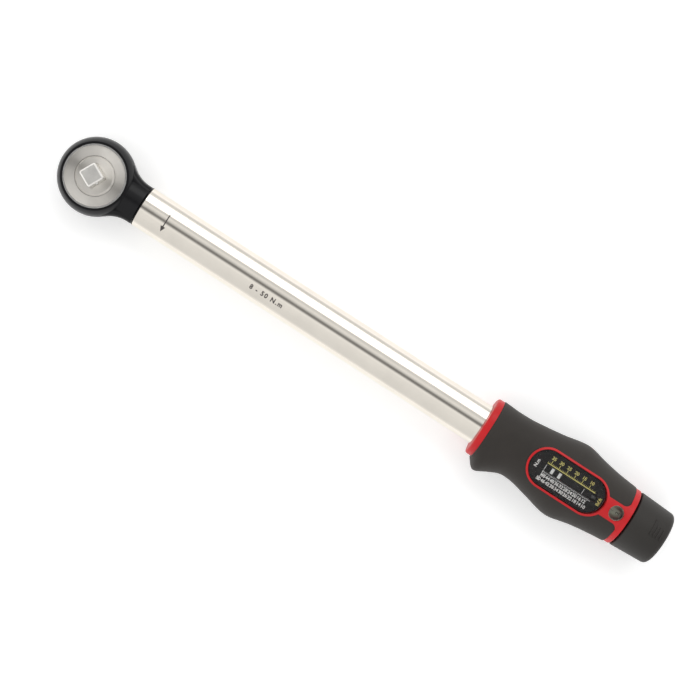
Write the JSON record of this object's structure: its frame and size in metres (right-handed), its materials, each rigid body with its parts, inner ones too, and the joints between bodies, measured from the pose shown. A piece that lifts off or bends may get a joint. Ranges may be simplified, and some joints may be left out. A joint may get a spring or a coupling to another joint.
{
  "type": "torque wrench",
  "caption": "Click torque wrench with ratcheting square drive, oval chrome tube, scale window in the rubber grip and turning adjuster knob.",
  "frame": {"origin": "on the drive axis, at the shoulder of the ratchet hub that a socket seats against", "axes": "+X along the tool from the drive axis to the adjuster knob, +Z out of the square drive"},
  "size_m": [0.3737, 0.0439, 0.0345],
  "materials": {
    "head_black": "satin black",
    "satin_steel": "satin nickel",
    "bright_steel": "bright ground steel",
    "tube_chrome": "polished chrome",
    "tool_steel": "oiled steel",
    "spring_steel": "oiled spring steel",
    "bearing_bronze": "turned bronze",
    "red_plastic": "semi-gloss",
    "grip_rubber": "matt",
    "seal_rubber": "matt",
    "black_plastic": "fine texture",
    "scale_black": "printed, satin",
    "clear_plastic": "clear polished"
  },
  "bodies": {
    "frame": {"tube": "tube_chrome", "pivot_pin": "bright_steel", "head_seal": "seal_rubber", "guide_sleeve": "bearing_bronze", "main_spring": "spring_steel", "end_bush": "bearing_bronze", "bush_pins": "bright_steel", "handle_core": "red_plastic", "handle_screws": "bright_steel", "grip_cover": "grip_rubber", "scale_plate": "scale_black", "scale_window": "clear_plastic", "fine_scale_lens": "clear_plastic", "lock_ring": "tool_steel"},
    "head": {"ratchet_head": "head_black", "cover_disc": "satin_steel", "cover_ring": "bright_steel", "pawl_pin": "bright_steel", "tail_pad": "tool_steel"},
    "drive": {"drive_spindle": "satin_steel", "ratchet_wheel": "tool_steel", "detent_spring": "spring_steel"},
    "ball": {"detent_ball": "bright_steel"},
    "pawl": {"pawl": "tool_steel"},
    "selector": {"selector_shaft": "tool_steel", "selector_oring": "seal_rubber", "selector_spring": "spring_steel", "reverse_lever": "black_plastic", "lever_screw": "bright_steel"},
    "selector_pin": {"selector_plunger": "bright_steel"},
    "trip_block": {"trip_block": "tool_steel"},
    "plunger": {"thrust_plunger": "tool_steel"},
    "carriage": {"seat_washer": "tool_steel", "carriage_nut": "bearing_bronze", "pointer_arm": "tool_steel", "arm_screws": "bright_steel", "scale_pointer": "scale_black"},
    "screw": {"adjusting_screw": "tool_steel", "thrust_washer": "bright_steel", "fine_scale_drum": "satin_steel", "drum_clip": "spring_steel", "knob_screw": "bright_steel"},
    "knob": {"adjuster_knob": "black_plastic", "knob_cap": "black_plastic", "lock_dog": "tool_steel"}
  },
  "joints": [
    {"name": "head_trip", "type": "hinge", "parent": "frame", "child": "head", "pos_m": [0.034, 0, -0.0081], "axis": [0, 0, 1], "range_deg": [0, 2.5], "stiffness_Nm_per_rad": 20, "springref_deg": -28.65},
    {"name": "trip_block_tilt", "type": "hinge", "parent": "frame", "child": "trip_block", "pos_m": [0.08605, -0.0035, -0.0081], "axis": [0, 0, 1], "range_deg": [-12.1, 0]},
    {"name": "plunger_slide", "type": "slide", "parent": "frame", "child": "plunger", "axis": [1, 0, 0], "range_m": [0, 0.0016]},
    {"name": "drive_spin", "type": "hinge", "parent": "head", "child": "drive", "pos_m": [0, 0, -0.0081], "axis": [0, 0, 1], "continuous": true},
    {"name": "ball_press", "type": "slide", "parent": "drive", "child": "ball", "axis": [0.891, -0.454, 0], "range_m": [-0.0005, 0], "stiffness_N_per_m": 600, "springref_m": 0.001, "deforming": ["detent_spring"]},
    {"name": "reverse_lever_turn", "type": "hinge", "parent": "head", "child": "selector", "pos_m": [0.023, 0, -0.0081], "axis": [0, 0, 1], "range_deg": [0, 40]},
    {"name": "pawl_rock", "type": "hinge", "parent": "head", "child": "pawl", "pos_m": [0.0162, 0, -0.0081], "axis": [0, 0, 1], "range_deg": [-13, 0]},
    {"name": "selector_pin_slide", "type": "slide", "parent": "selector", "child": "selector_pin", "axis": [-0.9397, 0.342, 0], "range_m": [-0.0003, 0], "stiffness_N_per_m": 300, "springref_m": 0.001, "deforming": ["selector_spring"]},
    {"name": "torque_set", "type": "hinge", "parent": "frame", "child": "screw", "pos_m": [0.3, 0, -0.0081], "axis": [1, 0, 0], "range_deg": [-3060, 720]},
    {"name": "carriage_travel", "type": "slide", "parent": "frame", "child": "carriage", "axis": [1, 0, 0], "range_m": [-0.0234, 0.0056], "deforming": ["main_spring"]},
    {"name": "knob_lock", "type": "slide", "parent": "screw", "child": "knob", "axis": [1, 0, 0], "range_m": [-0.0009, 0]}
  ],
  "couplings": [
    {"joint": "trip_block_tilt", "follows": "head_trip", "ratio": -4.81},
    {"joint": "plunger_slide", "follows": "head_trip", "m_per_rad": 0.0355},
    {"joint": "pawl_rock", "follows": "reverse_lever_turn", "ratio": -0.325},
    {"joint": "carriage_travel", "follows": "torque_set", "m_per_rad": 0.00043768}
  ]
}
